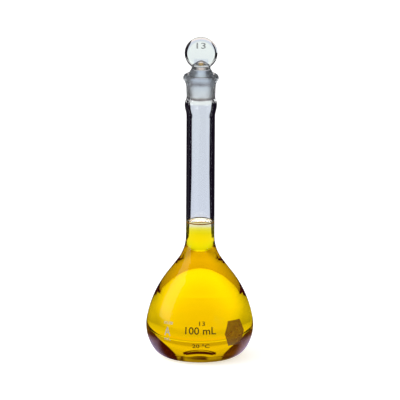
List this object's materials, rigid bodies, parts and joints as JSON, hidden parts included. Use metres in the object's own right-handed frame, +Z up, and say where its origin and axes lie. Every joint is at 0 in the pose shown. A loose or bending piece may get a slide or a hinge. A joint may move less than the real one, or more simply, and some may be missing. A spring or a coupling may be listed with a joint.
{
  "type": "volumetric flask",
  "caption": "Pear-shaped glass volumetric flask with a long neck, a fill ring and a ground pennyhead stopper, holding a yellow solution up to its ring.",
  "frame": {"origin": "middle of the base on the bench, on the flask's axis", "axes": "+Z up along the flask's axis, -Y the front that the fill marks and the stopper's flat face look to"},
  "size_m": [0.06, 0.06, 0.1825],
  "materials": {
    "flask_glass": "clear fire-polished borosilicate glass, ground dull inside the socket",
    "stopper_glass": "clear pressed borosilicate glass, plug ground dull",
    "solution": "clear yellow water-based solution",
    "ring_enamel": "fired amber enamel",
    "spot_enamel": "fired matt enamel"
  },
  "bodies": {
    "flask": {"flask_body": "flask_glass", "liquid": "solution", "graduation_ring": "ring_enamel", "marking_spot": "spot_enamel"},
    "stopper": {"stopper": "stopper_glass"}
  },
  "joints": [
    {"name": "stopper_lift", "type": "slide", "parent": "flask", "child": "stopper", "axis": [0, 0, 1], "range_m": [0, 0.06]}
  ]
}
